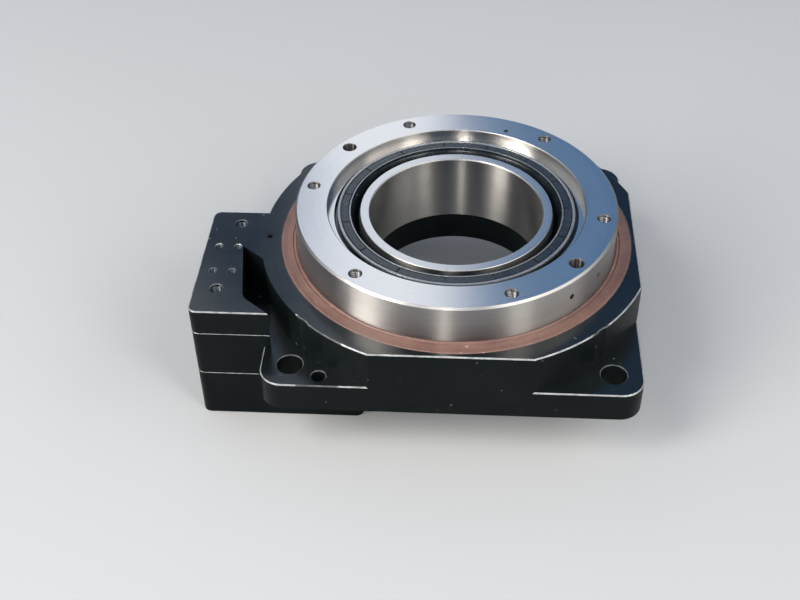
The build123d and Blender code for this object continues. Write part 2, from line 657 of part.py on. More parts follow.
def main_gear():
    """Ring-like spur gear that bolts to the table's hub and clamps the bearing's inner ring."""
    phase = PINION_DIRECTION + 180 / GEAR_TEETH
    teeth = Pos(0, 0, GEAR_LOW) * gear_face(GEAR_TEETH, GEAR_SHIFT, phase)
    body = extrude(teeth, GEAR_HIGH - GEAR_LOW) + disc(GEAR_LAND_R, GEAR_LOW, BEARING_LOW)
    body = body - disc(GEAR_BORE_R, GEAR_LOW, BEARING_LOW)
    body = body - [screw_hole(4, GEAR_SEAT, BEARING_LOW - GEAR_SEAT, GEAR_LOW, at)
                   for at in gear_screw_places()]
    return body - holes(M4_R, GEAR_LOW, BEARING_LOW, gear_dowel_places())


def gear_screws():
    return [cap_screw(4, GEAR_SEAT, GEAR_SCREW_TOP - GEAR_SEAT, at) for at in gear_screw_places()]


def gear_dowels():
    return [dowel(DOWEL_R, GEAR_LOW + 1, GEAR_DOWEL_TOP, at) for at in gear_dowel_places()]


# ---- input side -------------------------------------------------------------

def input_pinion():
    """Pinion shaft: upper journal, teeth, lower journal and the split hub for the motor shaft."""
    at = PINION_AXIS
    collar_low = COLLAR[0]
    stage_low, stage_high = PINION_STAGE
    shoulder_r = 11.0
    stage_r = 7.5
    neck_r = 5.0
    edge = 0.3
    stem = lathe([(0, collar_low), (LOWER["bore"], collar_low), (LOWER["bore"], BLOCK_LOW),
                  (shoulder_r, BLOCK_LOW), (shoulder_r, stage_low), (stage_r, stage_low),
                  (stage_r, stage_high), (0, stage_high)], at)
    tail = lathe([(0, GEAR_HIGH), (neck_r, GEAR_HIGH), (neck_r, UPPER["low"]), (UPPER["bore"], UPPER["low"]),
                  (UPPER["bore"], UPPER["high"] - edge), (UPPER["bore"] - edge, UPPER["high"]),
                  (0, UPPER["high"])], at)
    outline = gear_face(PINION_TEETH, PINION_SHIFT, PINION_DIRECTION + 180)
    teeth = extrude(Pos(at[0], at[1], stage_high) * outline, GEAR_HIGH - stage_high)
    bore = disc(MOTOR_SHAFT_R, collar_low, -1.0, at)
    reach = LOWER["bore"]
    slit = block((at[0] - reach, at[0] + reach), (at[1] - 0.5, at[1] + 0.5), collar_low, HUB_SLIT_TOP)
    groove = ring(CIRCLIP_IN_R - 0.02, LOWER["bore"] + 0.5, *CIRCLIP_GROOVE, at)
    return stem + tail + teeth - [bore, slit, groove]


def clamp_collar():
    """Split collar that closes the hub on the motor shaft."""
    x, y = PINION_AXIS
    body = ring(LOWER["bore"], COLLAR_R, *COLLAR, PINION_AXIS)
    body = body - block((x - SLIT / 2, x + SLIT / 2), (y, y + COLLAR_R), *COLLAR)
    place = Pos(x, y + COLLAR_SCREW_OFFSET, COLLAR_SCREW_Z) * Rot(0, 90, 0)
    hole = place * Cylinder(M3_R, 30)
    counterbore = place * Pos(0, 0, -COLLAR_SCREW_SEAT - 5) * Cylinder(HEAD_R[3] + 0.15, 10)
    return body - [hole, counterbore]


def clamp_screw():
    """Cap screw across the collar's slit, its head towards the access hole."""
    place = Pos(PINION_AXIS[0], PINION_AXIS[1] + COLLAR_SCREW_OFFSET, COLLAR_SCREW_Z)
    return place * Rot(0, 90, 0) * cap_screw(3, -COLLAR_SCREW_SEAT, 13, (0, 0))


def ring_wall(bearing):
    """Thickness of a ball bearing's rings."""
    return (bearing["outer"] - bearing["bore"]) / 3


def pitch_radius(bearing):
    return (bearing["outer"] + bearing["bore"]) / 2


def middle(bearing):
    return (bearing["low"] + bearing["high"]) / 2


def race(bearing):
    """Ball groove, to be cut from a ring."""
    return torus(pitch_radius(bearing), bearing["ball"] + RUNNING, middle(bearing), PINION_AXIS)


def inner_ring(bearing):
    bore = bearing["bore"]
    body = ring(bore, bore + ring_wall(bearing), bearing["low"], bearing["high"], PINION_AXIS)
    return body - race(bearing)


def outer_ring(bearing):
    outer = bearing["outer"]
    body = ring(outer - ring_wall(bearing), outer, bearing["low"], bearing["high"], PINION_AXIS)
    return body - race(bearing)


def ball_places(bearing):
    """One placement for each ball, with its X axis pointing outwards."""
    centre = Pos(PINION_AXIS[0], PINION_AXIS[1], middle(bearing))
    angles = [360 * i / bearing["count"] for i in range(bearing["count"])]
    return [centre * Rot(0, 0, angle) * Pos(pitch_radius(bearing), 0, 0) for angle in angles]


def balls(bearing):
    return [place * Sphere(bearing["ball"]) for place in ball_places(bearing)]


def cage(bearing):
    """Ring with a round window for each ball."""
    half_wall = 0.3
    radius = pitch_radius(bearing)
    half_height = bearing["ball"] + 0.4
    low = middle(bearing) - half_height
    body = ring(radius - half_wall, radius + half_wall, low, low + 2 * half_height, PINION_AXIS)
    window = Rot(0, 90, 0) * Cylinder(bearing["ball"] + RUNNING, 2)
    return body - [place * window for place in ball_places(bearing)]


def lower_bearing_seals():
    """Pair of thin seals, fixed in the outer ring and clear of the inner ring."""
    thick = 0.5
    inset = 0.2
    inner = LOWER["bore"] + ring_wall(LOWER) + FIT
    outer = LOWER["outer"] - ring_wall(LOWER)
    lows = (LOWER["low"] + inset, LOWER["high"] - inset - thick)
    return [ring(inner, outer, low, low + thick, PINION_AXIS) for low in lows]


def shaft_circlip():
    """Ring in the hub's groove that holds the lower bearing's inner ring."""
    x, y = PINION_AXIS
    outer = 11.6
    low = CIRCLIP_GROOVE[0] + 0.2
    high = CIRCLIP_GROOVE[1] - FIT
    gap = block((x - 1.5, x + 1.5), (y - outer, y), low, high)
    return ring(CIRCLIP_IN_R, outer, low, high, PINION_AXIS) - gap


# ---- write one file for each sub-part ---------------------------------------

NODES = {
    "housing": housing,
    "bearing_block": bearing_block,
    "motor_flange": motor_flange,
    "bottom_cover": bottom_cover,
    "cover_screws": cover_screws,
    "block_screws": block_screws,
    "block_dowels": block_dowels,
    "flange_screws": flange_screws,
    "access_plug": access_plug,
    "grease_plug": grease_plug,
    "hollow_sleeve": hollow_sleeve,
    "sleeve_oring": sleeve_oring,
    "outer_seal": outer_seal,
    "outer_seal_spring": outer_seal_spring,
    "bearing_retainer": bearing_retainer,
    "retainer_screws": retainer_screws,
    "main_bearing_outer_ring": main_bearing_outer_ring,
    "main_bearing_inner_ring": main_bearing_inner_ring,
    "bearing_rollers": bearing_rollers,
    "roller_spacers": roller_spacers,
    "output_table": output_table,
    "main_gear": main_gear,
    "gear_screws": gear_screws,
    "gear_dowels": gear_dowels,
    "inner_seal": inner_seal,
    "inner_seal_spring": inner_seal_spring,
    "input_pinion": input_pinion,
    "clamp_collar": clamp_collar,
    "clamp_screw": clamp_screw,
    "shaft_circlip": shaft_circlip,
    "upper_bearing_outer_ring": lambda: outer_ring(UPPER),
    "upper_bearing_inner_ring": lambda: inner_ring(UPPER),
    "upper_bearing_balls": lambda: balls(UPPER),
    "upper_bearing_cage": lambda: cage(UPPER),
    "lower_bearing_outer_ring": lambda: outer_ring(LOWER),
    "lower_bearing_inner_ring": lambda: inner_ring(LOWER),
    "lower_bearing_balls": lambda: balls(LOWER),
    "lower_bearing_cage": lambda: cage(LOWER),
    "lower_bearing_seals": lower_bearing_seals,
}

os.makedirs("parts", exist_ok=True)
for name, build in NODES.items():
    made = build()
    solids = made if isinstance(made, list) else [made]
    export_step(Compound(children=[s for one in solids for s in one.solids()]), f"parts/{name}.step")
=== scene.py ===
import json
import math

import bpy
from mathutils import Matrix, Vector


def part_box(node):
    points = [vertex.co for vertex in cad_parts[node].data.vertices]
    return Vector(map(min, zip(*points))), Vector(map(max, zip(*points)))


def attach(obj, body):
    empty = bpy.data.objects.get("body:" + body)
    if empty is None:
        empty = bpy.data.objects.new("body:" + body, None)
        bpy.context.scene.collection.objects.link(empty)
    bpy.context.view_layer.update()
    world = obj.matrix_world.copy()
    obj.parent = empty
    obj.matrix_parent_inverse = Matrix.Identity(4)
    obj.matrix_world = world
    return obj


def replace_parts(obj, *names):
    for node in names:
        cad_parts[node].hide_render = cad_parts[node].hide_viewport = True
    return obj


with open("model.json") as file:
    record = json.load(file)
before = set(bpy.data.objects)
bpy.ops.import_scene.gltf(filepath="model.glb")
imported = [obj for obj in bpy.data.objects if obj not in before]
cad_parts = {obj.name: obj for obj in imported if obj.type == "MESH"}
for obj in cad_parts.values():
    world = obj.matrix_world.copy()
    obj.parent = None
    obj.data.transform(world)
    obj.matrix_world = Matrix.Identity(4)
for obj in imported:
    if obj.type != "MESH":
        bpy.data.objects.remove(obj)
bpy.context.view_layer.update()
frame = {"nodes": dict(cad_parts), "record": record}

MM = 0.001
nodes = frame["nodes"]


# ---- places read from the frame ---------------------------------------------

def mount(name):
    """The record's mount of that name."""
    return next(m for m in frame["record"]["mounts"] if m["name"] == name)


def on_circle(radius, count, phase):
    """Places round the output axis."""
    angles = [math.radians(phase + 360 * i / count) for i in range(count)]
    return [(radius * math.cos(a), radius * math.sin(a)) for a in angles]


def on_grid(dims):
    """Corners of a rectangular hole pattern about its centre."""
    dx = dims["spacing_x_mm"] / 2 * MM
    dy = dims["spacing_y_mm"] / 2 * MM
    return [(a * dx, b * dy) for a in (-1, 1) for b in (-1, 1)]


def place(name):
    """A mount's place seen from above."""
    return tuple(mount(name)["pos_m"][:2])


TABLE_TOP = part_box("output_table")[1].z
WING_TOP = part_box("housing")[1].z
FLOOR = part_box("motor_flange")[0].z
INPUT_AXIS = place("motor_pilot")
HOUSING_HOLES = on_grid(mount("base_holes")["dims"]) + [
    place("base_pin_front"), place("base_pin_rear"),
    place("wing_top_front"), place("wing_top_rear"), place("sensor_holes")]
OUTPUT_PHASE = -8.4         # direction of the table's first tapped hole, in degrees from +X
OUTPUT_DIMS = mount("output_holes")["dims"]
TAPPED_HOLES = on_circle(OUTPUT_DIMS["pcd_mm"] / 2 * MM, OUTPUT_DIMS["count"], OUTPUT_PHASE)
TABLE_HOLES = TAPPED_HOLES + [place("output_pin_a"), place("output_pin_b")]


# ---- material building blocks -----------------------------------------------

class Nodes:
    """Short names for building one material's node tree."""

    def __init__(self, name):
        self.material = bpy.data.materials.new(name)
        self.material.use_nodes = True
        self.tree = self.material.node_tree
        self.tree.nodes.clear()
        self.output = self.add("ShaderNodeOutputMaterial")
        self.shader = self.add("ShaderNodeBsdfPrincipled")
        self.link(self.shader.outputs[0], self.output.inputs["Surface"])

    def add(self, kind, **settings):
        node = self.tree.nodes.new(kind)
        for key, value in settings.items():
            setattr(node, key, value)
        return node

    def link(self, source, target):
        self.tree.links.new(source, target)

    def set(self, socket, value):
        """Feeds a socket with another node's output or with a plain value."""
        if isinstance(value, bpy.types.NodeSocket):
            self.link(value, socket)
        else:
            socket.default_value = value

    def surface(self, **inputs):
        """Sets the main shader's inputs; underscores in a name stand for spaces."""
        for key, value in inputs.items():
            self.set(self.shader.inputs[key.replace("_", " ")], value)

    def position(self):
        return self.add("ShaderNodeTexCoord").outputs["Object"]

    def math(self, operation, a, b=0.0, clamp=False):
        node = self.add("ShaderNodeMath", operation=operation, use_clamp=clamp)
        self.set(node.inputs[0], a)
        self.set(node.inputs[1], b)
        return node.outputs[0]

    def parts(self, vector):
        return self.add_linked("ShaderNodeSeparateXYZ", vector).outputs

    def add_linked(self, kind, vector):
        node = self.add(kind)
        self.link(vector, node.inputs[0])
        return node

    def join(self, x=0.0, y=0.0, z=0.0):
        node = self.add("ShaderNodeCombineXYZ")
        for socket, value in zip(node.inputs, (x, y, z)):
            self.set(socket, value)
        return node.outputs[0]

    def noise(self, vector, scale, detail=2.0, roughness=0.5):
        node = self.add("ShaderNodeTexNoise")
        self.link(vector, node.inputs["Vector"])
        node.inputs["Scale"].default_value = scale
        node.inputs["Detail"].default_value = detail
        node.inputs["Roughness"].default_value = roughness
        return node.outputs["Fac"]

    def spread(self, value, low, high, to_low=0.0, to_high=1.0):
        """Stretches a range of values, held at both ends."""
        node = self.add("ShaderNodeMapRange", clamp=True)
        self.set(node.inputs["Value"], value)
        for key, number in zip(("From Min", "From Max", "To Min", "To Max"), (low, high, to_low, to_high)):
            self.set(node.inputs[key], number)
        return node.outputs["Result"]

    def mix(self, factor, a, b):
        node = self.add("ShaderNodeMix", data_type="RGBA")
        self.set(node.inputs["Factor"], factor)
        for socket, colour in ((node.inputs[6], a), (node.inputs[7], b)):
            self.set(socket, colour if isinstance(colour, bpy.types.NodeSocket) else (*colour, 1.0))
        return node.outputs[2]

    def bump(self, height, strength, distance, normal=None):
        node = self.add("ShaderNodeBump")
        self.link(height, node.inputs["Height"])
        node.inputs["Strength"].default_value = strength
        node.inputs["Distance"].default_value = distance
        if normal is not None:
            self.link(normal, node.inputs["Normal"])
        return node.outputs["Normal"]

    def around(self, centre=(0.0, 0.0)):
        """Distance from an upright axis, the height, and the distance to one side of the axis."""
        x, y, z = self.parts(self.position())
        x = self.math("SUBTRACT", x, centre[0])
        y = self.math("SUBTRACT", y, centre[1])
        radius = self.math("SQRT", self.math("ADD", self.math("MULTIPLY", x, x), self.math("MULTIPLY", y, y)))
        return radius, z, x

    def rings(self, scale, centre=(0.0, 0.0), detail=2.0, drift=0.01):
        """Noise drawn out round an upright axis, as a lathe leaves it."""
        radius, height, side = self.around(centre)
        return self.noise(self.join(radius, height, self.math("MULTIPLY", side, drift)), scale, detail, 0.65)

    def nearest(self, places):
        """Distance across from the nearest of a few upright axes."""
        x, y, _ = self.parts(self.position())
        here = self.join(x, y)
        best = None
        for px, py in places:
            away = self.add("ShaderNodeVectorMath", operation="DISTANCE")
            self.link(here, away.inputs[0])
            away.inputs[1].default_value = (px, py, 0.0)
            value = away.outputs["Value"]
            best = value if best is None else self.math("MINIMUM", best, value)
        return best

    def slope(self):
        """How far the true face normal points up or down, from 0 to 1."""
        normal = self.add("ShaderNodeNewGeometry").outputs["True Normal"]
        return self.math("ABSOLUTE", self.parts(normal)[2])


def shade(colour, share):
    """The colour darkened to a share of itself."""
    return tuple(c * share for c in colour)


def chamfer_mask(n):
    """1 on faces at 45 degrees to the vertical, which are the machined edge breaks."""
    off = n.math("ABSOLUTE", n.math("SUBTRACT", n.slope(), math.sqrt(0.5)))
    return n.spread(off, 0.03, 0.08, 1.0, 0.0)


EDGE_SHINE = 0.36                       # how far an edge break shows bare metal
HOLE_EDGE = (8.3 * MM, 8.8 * MM)        # nearer to a hole's axis than this, edge breaks stay dark


def anodised(name):
    """Hard black anodised aluminium: satin on top, duller on the sides, with edge breaks worn to bare metal,
    and dust.
    """
    n = Nodes(name)
    where = n.position()
    flat = n.spread(n.slope(), 0.85, 0.95)
    cloud = n.noise(where, 45, 4, 0.6)
    grain = n.noise(where, 2600, 2, 0.6)
    wear = n.spread(n.noise(where, 260, 4, 0.7), 0.32, 0.62, EDGE_SHINE * 0.45, EDGE_SHINE)
    edge = n.math("MULTIPLY", chamfer_mask(n), wear)
    edge = n.math("MULTIPLY", edge, n.spread(n.nearest(HOUSING_HOLES), *HOLE_EDGE, 0.3, 1.0))
    dust = n.spread(n.noise(where, 620, 2, 0.5), 0.735, 0.775, 0.0, 0.30)
    scuffs = n.spread(n.noise(where, 150, 6, 0.8), 0.60, 0.78, 0.0, 0.25)
    body = n.mix(n.spread(cloud, 0.3, 0.7), (0.0022, 0.0036, 0.0038), (0.0040, 0.0056, 0.0060))
    body = n.mix(scuffs, body, (0.014, 0.016, 0.016))
    body = n.mix(dust, body, (0.30, 0.30, 0.28))
    roughness = n.math("ADD", n.spread(flat, 0.0, 1.0, 0.36, 0.19), n.spread(cloud, 0.3, 0.7, -0.02, 0.03))
    roughness = n.math("ADD", roughness, n.spread(grain, 0.2, 0.8, -0.03, 0.03))
    n.surface(
        Base_Color=n.mix(edge, body, (0.72, 0.73, 0.72)),
        Metallic=edge,
        Roughness=n.math("ADD", roughness, n.math("MULTIPLY", scuffs, 0.5)),
        Normal=n.bump(grain, 0.14, 0.00004),
        Specular_IOR_Level=n.spread(flat, 0.0, 1.0, 0.065, 0.72),
    )
    return n.material


WALL_SHADE = 0.42            # painted shade: upright turned walls take a darker copy of the metal's colour than the flat faces
EDGE_TONE = 0.30            # edge breaks
HOLE_SHADE_TONE = 0.10         # painted shade: walls and mouths of the holes, and the sleeve's outer wall, are painted nearly black
MOUTH_REACH = 3.2 * MM      # how far from a hole's axis its mouth reaches


def turned(name, colour, face, wall, groove, centre=(0.0, 0.0), shade_radii=(0.0, 0.0), mouths=()):
    """Metal turned on a lathe: fine grooves run round the axis, and highlights stretch across them.

    face and wall are (roughness, anisotropy) of the flat and the upright surfaces. Upright walls take a
    darker copy of the colour as painted shade; upright walls between the two shade radii, and edge breaks
    round the mouths, are duller (rougher) and painted nearly black as painted shade.
    """
    n = Nodes(name)
    fine = n.rings(5200, centre)
    coarse = n.rings(800, centre, 3.0)
    smear = n.noise(n.position(), 45, 4, 0.6)
    flat = n.spread(n.slope(), 0.4, 0.9)
    radius = n.around(centre)[0]
    # painted shade on the upright walls between the two shade radii
    inside = n.math("MULTIPLY", n.math("GREATER_THAN", radius, shade_radii[0]),
                    n.math("LESS_THAN", radius, shade_radii[1]))
    hole = n.math("MULTIPLY", inside, n.math("LESS_THAN", n.slope(), 0.5))
    tangent = n.add("ShaderNodeTangent", direction_type="RADIAL", axis="Z")
    tone = n.math("ADD", n.spread(coarse, 0.3, 0.7, -0.22, 0.22), n.spread(fine, 0.25, 0.75, -0.15, 0.15))
    tone = n.math("ADD", tone, n.spread(smear, 0.3, 0.7, 0.45, 0.60))
    edge = chamfer_mask(n)
    # painted shade also covers the edge breaks round the hole mouths
    if mouths:
        near = n.math("LESS_THAN", n.nearest(mouths), MOUTH_REACH)
        hole = n.math("MAXIMUM", hole, n.math("MULTIPLY", near, edge))
    # painted shade: the upright walls get the darker copy of the colour
    shaded_wall_colour = shade(colour, WALL_SHADE)
    metal = n.mix(flat, n.mix(tone, shade(shaded_wall_colour, 0.86), shaded_wall_colour),
                  n.mix(tone, shade(colour, 0.86), colour))
    roughness = n.math("ADD", n.spread(flat, 0.0, 1.0, wall[0], face[0]),
                       n.spread(coarse, 0.3, 0.7, -0.015, 0.015))
    roughness = n.math("ADD", roughness, n.spread(smear, 0.35, 0.7, 0.0, 0.02))
    roughness = n.math("ADD", roughness, n.math("MULTIPLY", edge, 0.10))
    plain = n.math("SUBTRACT", 1.0, edge)
    n.surface(
        # painted shade: the masked walls and mouths take a nearly black copy of the colour
        Base_Color=n.mix(hole, n.mix(edge, metal, shade(colour, EDGE_TONE)), shade(colour, HOLE_SHADE_TONE)),
        Metallic=1.0,
        Roughness=n.math("ADD", roughness, n.math("MULTIPLY", hole, 0.15)),
        Anisotropic=n.math("MULTIPLY", plain, n.spread(flat, 0.0, 1.0, wall[1], face[1])),
        Anisotropic_Rotation=0.25,
        Tangent=tangent.outputs[0],
        Normal=n.bump(fine, groove, 0.00002),
    )
    return n.material


def steel(name, colour, roughness, grain=1400):
    """Plain steel with a fine even grain and faint handling marks."""
    n = Nodes(name)
    where = n.position()
    fine = n.noise(where, grain, 3, 0.6)
    smear = n.noise(where, 120, 4, 0.6)
    n.surface(
        Base_Color=n.mix(n.spread(smear, 0.3, 0.7), shade(colour, 0.78), colour),
        Metallic=1.0,
        Roughness=n.spread(smear, 0.3, 0.7, roughness - 0.04, roughness + 0.06),
        Normal=n.bump(fine, 0.15, 0.00002),
    )
    return n.material


def rubber(name, dark, light, roughness, speck, specular, relief=0.25, painted_sheen_rings=()):
    """Moulded rubber: fine mould rings, pores, a little dust and a soft sheen.

    The last argument lists rings, as their two radii and a colour, painted a grey metallic sheen that stands
    for the beads' highlight.
    """
    n = Nodes(name)
    where = n.position()
    cloud = n.noise(where, 130, 4, 0.65)
    pores = n.noise(where, 2200, 3, 0.6)
    rings = n.rings(2400)
    dust = n.spread(n.noise(where, 800, 3, 0.7), 0.66, 0.76, 0.0, speck)
    tone = n.mix(n.spread(n.math("ADD", cloud, n.math("MULTIPLY", rings, 0.5)), 0.5, 1.0), dark, light)
    radius = n.around()[0]
    gloss = 0.0
    # painted highlight: each listed ring gets a grey, mostly metallic sheen
    for (low, high), colour in painted_sheen_rings:
        inside = n.math("MULTIPLY", n.spread(radius, low, low + 0.1 * MM),
                        n.spread(radius, high - 0.1 * MM, high, 1.0, 0.0))
        streaks = n.math("MULTIPLY", inside, n.spread(n.noise(where, 900, 3, 0.6), 0.3, 0.6, 0.55, 1.0))
        tone = n.mix(streaks, tone, colour)
        gloss = n.math("ADD", gloss, streaks)
    n.surface(
        Base_Color=n.mix(dust, tone, (0.62, 0.58, 0.53)),
        Metallic=n.math("MULTIPLY", gloss, 0.85),
        Roughness=n.spread(cloud, 0.3, 0.7, roughness - 0.05, roughness + 0.08),
        Normal=n.bump(n.math("ADD", pores, rings), relief, 0.00005),
        Specular_IOR_Level=specular,
    )
    return n.material


def plastic(name, dark, light, roughness):
    """Moulded plastic with a fine spark-eroded texture."""
    n = Nodes(name)
    where = n.position()
    cloud = n.noise(where, 200, 3, 0.6)
    n.surface(
        Base_Color=n.mix(cloud, dark, light),
        Roughness=n.spread(cloud, 0.3, 0.7, roughness - 0.05, roughness + 0.05),
        Normal=n.bump(n.noise(where, 3000, 2, 0.5), 0.2, 0.00004),
    )
    return n.material


def floor_material():
    """Plain pale studio floor, seen through from below so that the object's underside can be looked at."""
    n = Nodes("pale_floor")
    where = n.position()
    n.surface(
        Base_Color=n.mix(n.noise(where, 3, 3, 0.5), (0.34, 0.34, 0.335), (0.36, 0.36, 0.355)),
        Roughness=0.9,
        Specular_IOR_Level=0.0,
        Normal=n.bump(n.noise(where, 900, 2, 0.5), 0.04, 0.0002),
    )
    clear = n.add("ShaderNodeBsdfTransparent")
    pick = n.add("ShaderNodeMixShader")
    n.link(n.add("ShaderNodeNewGeometry").outputs["Backfacing"], pick.inputs[0])
    n.link(n.shader.outputs[0], pick.inputs[1])
    n.link(clear.outputs[0], pick.inputs[2])
    n.link(pick.outputs[0], n.output.inputs[0])
    return n.material


# ---- one finish for each of the record's material slots ----------------------

TABLE_SHADE_RADII = (47.5 * MM, 57.2 * MM)      # radii between which the table's upright walls, the walls of its holes, are painted nearly black as painted shade
SLEEVE_SHADE_RADII = (33.0 * MM, 36.0 * MM)     # painted shade: the sleeve's outer wall sits in the narrow gap under the seal's lip and is painted as dark as the hole walls
OUTER_BEAD = (41.50 * MM, 42.55 * MM)
INNER_BEAD = (37.80 * MM, 38.36 * MM)

FINISHES = {
    "black_anodised": anodised("black_anodised"),
    "turned_steel": turned("turned_steel", (0.83, 0.80, 0.755), (0.20, 0.40), (0.31, 1.0), 0.12,
                           shade_radii=TABLE_SHADE_RADII, mouths=TABLE_HOLES),
    "ground_steel": turned("ground_steel", (0.79, 0.765, 0.72), (0.24, 0.35), (0.30, 1.0), 0.10,
                           shade_radii=SLEEVE_SHADE_RADII),
    "bearing_steel": steel("bearing_steel", (0.66, 0.66, 0.65), 0.14),
    "gear_steel": steel("gear_steel", (0.42, 0.42, 0.42), 0.32),
    "black_oxide": steel("black_oxide", (0.045, 0.045, 0.05), 0.38),
    "brown_rubber": rubber("brown_rubber", (0.105, 0.052, 0.040), (0.158, 0.088, 0.069), 0.40,
                           speck=0.75, specular=0.42),
    # painted highlight: the inner seal's two beads are painted a grey metallic sheen
    "black_rubber": rubber("black_rubber", (0.003, 0.005, 0.006), (0.007, 0.010, 0.013), 0.24,
                           speck=0.20, specular=0.95, relief=0.06,
                           painted_sheen_rings=((OUTER_BEAD, (0.34, 0.35, 0.35)), (INNER_BEAD, (0.28, 0.29, 0.29)))),
    "nylon": plastic("nylon", (0.60, 0.57, 0.47), (0.68, 0.65, 0.55), 0.45),
    "brass_cage": steel("brass_cage", (0.68, 0.50, 0.22), 0.30),
    "spring_steel": steel("spring_steel", (0.50, 0.50, 0.50), 0.28),
    "black_plastic": plastic("black_plastic", (0.012, 0.012, 0.013), (0.022, 0.022, 0.024), 0.5),
}
HUB_FINISH = turned("turned_hub", (0.50, 0.50, 0.49), (0.26, 0.6), (0.33, 0.9), 0.2, INPUT_AXIS)
THREAD_FINISHES = {
    # painted shade: the steel threads are painted nearly black for the shade inside the tapped holes
    "turned_steel": steel("cut_thread", (0.10, 0.10, 0.10), 0.28),
    "black_oxide": steel("dark_thread", (0.035, 0.042, 0.05), 0.30),
}

for part in frame["record"]["subparts"]:
    finish = HUB_FINISH if part["node"] == "input_pinion" else FINISHES[part["material_slot"]]
    mesh = nodes[part["node"]].data
    mesh.materials.clear()
    mesh.materials.append(finish)


# ---- mesh pieces --------------------------------------------------------------

def piece(name, points, faces, body, slot, finish=None):
    """New mesh object that rides on a body and takes a slot's finish."""
    mesh = bpy.data.meshes.new(name)
    mesh.from_pydata(points, [], faces)
    mesh.validate()
    mesh.materials.append(finish or FINISHES[slot])
    made = bpy.data.objects.new(name, mesh)
    bpy.context.scene.collection.objects.link(made)
    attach(made, body)
    return made


# ---- screw threads in the tapped holes ----------------------------------------

def thread_mesh(radius, pitch, low, high, steps=36):
    """Points and faces of a V thread that covers a hole's wall between two heights."""
    depth = 0.5 * pitch
    behind = 0.03 * MM
    count = int(((high - low) / pitch - 1) * steps)
    section = ((radius + behind, -0.5 * pitch), (radius - depth, 0.0), (radius + behind, 0.5 * pitch))
    points = []
    for i in range(count + 1):
        angle = 2 * math.pi * i / steps
        height = low + pitch * (0.5 + i / steps)
        points += [(r * math.cos(angle), r * math.sin(angle), height + rise) for r, rise in section]
    faces = [(2, 1, 0), (3 * count, 3 * count + 1, 3 * count + 2)]
    for i in range(count):
        for j in range(3):
            k = (j + 1) % 3
            faces.append((3 * i + k, 3 * i + 3 + k, 3 * i + 3 + j, 3 * i + j))
    return points, faces


def threads(name, places, size, span, body, slot):
    """One piece that holds the threads of a group of alike tapped holes, between the span's two heights."""
    radius, pitch = size
    ridge, sides = thread_mesh(radius * MM, pitch * MM, *span)
    points, faces = [], []
    for x, y in places:
        start = len(points)
        points += [(x + p[0], y + p[1], p[2]) for p in ridge]
        faces += [tuple(start + v for v in side) for side in sides]
    return piece(name, points, faces, body, slot, THREAD_FINISHES[slot])


def grid_at(centre, name):
    """Holes of a mount's rectangular pattern round a centre."""
    return [(centre[0] + x, centre[1] + y) for x, y in on_grid(mount(name)["dims"])]


M5 = (OUTPUT_DIMS["hole_r_mm"], 0.8)                # hole radius and pitch
M3 = (mount("sensor_holes")["dims"]["hole_r_mm"], 0.5)
TABLE_SPAN = (TABLE_TOP - 11.5 * MM, TABLE_TOP - 0.3 * MM)      # lowest and highest z of the threads
WING_SPAN = (WING_TOP - 7.6 * MM, WING_TOP - 0.25 * MM)
MOTOR_SPAN = (FLOOR + 0.3 * MM, FLOOR + 11.5 * MM)
WING_HOLES = [place("wing_top_front"), place("wing_top_rear")]
SENSOR_HOLES = grid_at(place("sensor_holes"), "sensor_holes")

threads("table_threads", TAPPED_HOLES, M5, TABLE_SPAN, "table", "turned_steel")
threads("wing_threads", WING_HOLES, M5, WING_SPAN, "base", "black_oxide")
threads("sensor_threads", SENSOR_HOLES, M3, WING_SPAN, "base", "black_oxide")
threads("motor_threads", grid_at(INPUT_AXIS, "motor_holes"), M5, MOTOR_SPAN, "base", "turned_steel")


# ---- moulded seals ---------------------------------------------------------------

def ring_mesh(outline, angles, shift):
    """Closed ring turned from an (r, z) outline; shift(angle, r, z) moves each point, all in mm."""
    points, faces = [], []
    for angle in angles:
        turn = math.radians(angle)
        for r, z in outline:
            radius, height = shift(angle, r, z)
            points.append((radius * math.cos(turn) * MM, radius * math.sin(turn) * MM, height * MM))
    size, steps = len(outline), len(angles)
    for i in range(steps):
        here = i * size
        there = (i + 1) % steps * size
        for j in range(size):
            k = (j + 1) % size
            faces.append((here + j, there + j, there + k, here + k))
    return points, faces


def arc(centre, radius, start, end, count):
    """Points of an arc in the (r, z) plane, angles in degrees."""
    angles = [math.radians(start + (end - start) * i / count) for i in range(count + 1)]
    return [(centre[0] + radius * math.cos(a), centre[1] + radius * math.sin(a)) for a in angles]


# Sizes of the seals in mm, angles in degrees.
INNER_SEAL_TOP = 38.5
INNER_SEAL_BAND = (38.7, 41.15)     # radii of the finely ribbed band between two beads
INNER_SEAL_RIDGES = 4
NOTCH_ANGLES = [2.2 + 24.0 * i for i in range(15)]
NOTCH_HALF = 0.32                   # half of a notch's width
NOTCH_DEPTH = 0.45
OUTER_SEAL_LIP = 57.53              # radius of the lips that touch the table's rim


